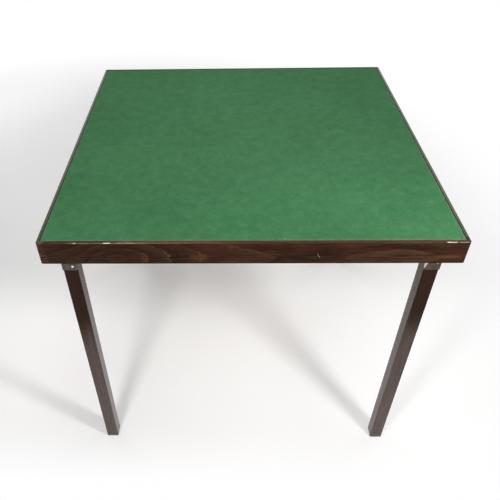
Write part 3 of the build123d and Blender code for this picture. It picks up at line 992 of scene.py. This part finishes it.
# Place, aim, width and height, watts, spread in degrees
SOFTBOXES = {
    "right_softbox": ((0.66, -0.84, 1.17), (-0.1, 0.15, 0.2), (0.16, 0.16), 4.75, 125),
    "left_softbox": ((-0.46, -1.17, 1.4), (0, 0.1, 0.2), (0.2, 0.2), 3.9, 110),
    "left_fill": ((-1.7, 1.8, 0.62), (0, 0, 0.5), (1.4, 0.8), 9.0, 140),
    "right_fill": ((1.9, 1.3, 0.62), (0, 0, 0.5), (1.4, 0.8), 9.0, 140),
    "top_softbox": ((-0.1, 0.5, 1.9), (-0.1, 0.5, 0), (1.0, 0.8), 5.5, 150),
}


def floor_material():
    """Pale floor that goes over to plain white away from the table, and clear from below.
    Its lift is least under the table, a painted shadow, and most beside it, painted light."""
    s = Shader("pale_floor", Roughness=0.9, Specular_IOR_Level=0.1)
    place = s.place()
    s.set(Base_Color=s.ramp(s.noise(place, scale=2.5, detail=3), FLOOR_TONES))
    x, y = s.split(place)[:2]
    far = s.between(s.away_level(x, y, WHITE_CENTRE), *WHITE_REACH)
    bright = s.most(far, s.between(y, *WHITE_FRONT))
    painted_shade_under_top = s.between(s.away_level(x, y, UNDER_CENTRE), *UNDER_REACH)
    off_middle = s.size(s.sub(x, BESIDE_CENTRE))
    painted_light_beside = s.mul(s.between(off_middle, *BESIDE_REACH), s.between(y, *BESIDE_FRONT))
    # Painted shadow under the table and painted light beside it
    lift = s.sub(FLOOR_LIFT, s.mul(painted_shade_under_top, UNDER_PAINTED_SHADE))
    lift = s.add(lift, s.mul(painted_light_beside, BESIDE_PAINTED_LIGHT))
    lift = s.emission(s.mul(s.seen_directly(), lift))
    lit = s.node("ShaderNodeAddShader", s.surface.outputs[0], lift).outputs[0]
    share = s.mul(bright, s.seen_directly())
    whole = s.node("ShaderNodeMixShader", share, lit, s.emission(1.0)).outputs[0]
    below = s.node("ShaderNodeNewGeometry").outputs["Backfacing"]
    clear = s.node("ShaderNodeBsdfTransparent").outputs[0]
    whole = s.node("ShaderNodeMixShader", below, whole, clear).outputs[0]
    s.feed(s.tree.nodes["Material Output"].inputs["Surface"], whole)
    return s.material


def make_stage():
    """A floor that rises into a backdrop far behind the table."""
    half_width = 12.0
    front, bend, top = -8.0, 6.0, 7.0
    radius = 2.0
    line = [(front, 0.0)]
    line += [(bend + run, rise) for run, rise in quarter_arc(radius, steps=12)]
    line.append((bend + radius, top))
    mesh = bmesh.new()
    left = [mesh.verts.new((-half_width, y, z)) for y, z in line]
    right = [mesh.verts.new((half_width, y, z)) for y, z in line]
    for k in range(len(line) - 1):
        mesh.faces.new((left[k], right[k], right[k + 1], left[k + 1]))
    make_object("studio_floor", mesh, floor_material())


def softbox(name, place, aim, size, power, spread):
    lamp = bpy.data.lights.new(name, "AREA")
    lamp.shape = "RECTANGLE"
    lamp.size, lamp.size_y = size
    lamp.energy = power
    lamp.color = LAMP_COLOUR
    lamp.spread = math.radians(spread)
    lamp_object = bpy.data.objects.new(name, lamp)
    lamp_object.location = place
    toward = Vector(aim) - Vector(place)
    lamp_object.rotation_euler = toward.to_track_quat("-Z", "Y").to_euler()
    lamp_object.visible_camera = False
    bpy.context.scene.collection.objects.link(lamp_object)


def make_light():
    """Two softboxes in front, one overhead, two low fills behind, and a pale surround
    that shows white."""
    world = bpy.data.worlds.new("studio_world")
    world.use_nodes = True
    bpy.context.scene.world = world
    w = Nodes(world.node_tree)
    level = w.node("ShaderNodeMapRange", w.seen_directly(), 0, 1, WORLD_LIGHT, 1)
    background = w.tree.nodes["Background"]
    w.feed_named(background, {"Color": WHITE, "Strength": level.outputs[0]})
    for name, values in SOFTBOXES.items():
        softbox(name, *values)


def make_camera():
    """The photograph's camera, fitted to the corners of the top and the feet."""
    image, sensor = 500.0, 36.0
    focal = 543.77
    centre_x, centre_y = 212.89, 252.29
    pitch, yaw, roll = (math.radians(a) for a in (40.918, -1.759, 1.299))
    place = Vector((-0.04534, -1.10646, top_z + 0.60818))
    forward = Vector(
        (math.sin(yaw) * math.cos(pitch), math.cos(yaw) * math.cos(pitch), -math.sin(pitch))
    )
    level = Vector((math.cos(yaw), -math.sin(yaw), 0))
    steep = forward.cross(level)
    right = math.cos(roll) * level + math.sin(roll) * steep
    down = math.cos(roll) * steep - math.sin(roll) * level
    camera = bpy.data.cameras.new("photo_camera")
    camera.sensor_width = sensor
    camera.lens = focal * sensor / image
    camera.shift_x = (image / 2 - centre_x) / image
    camera.shift_y = (centre_y - image / 2) / image
    camera_object = bpy.data.objects.new("photo_camera", camera)
    axes = Matrix((right, -down, -forward)).transposed()
    camera_object.matrix_world = Matrix.Translation(place) @ axes.to_4x4()
    bpy.context.scene.collection.objects.link(camera_object)
    bpy.context.scene.camera = camera_object


make_stage()
make_light()
make_camera()
bpy.context.scene.view_settings.view_transform = "Standard"
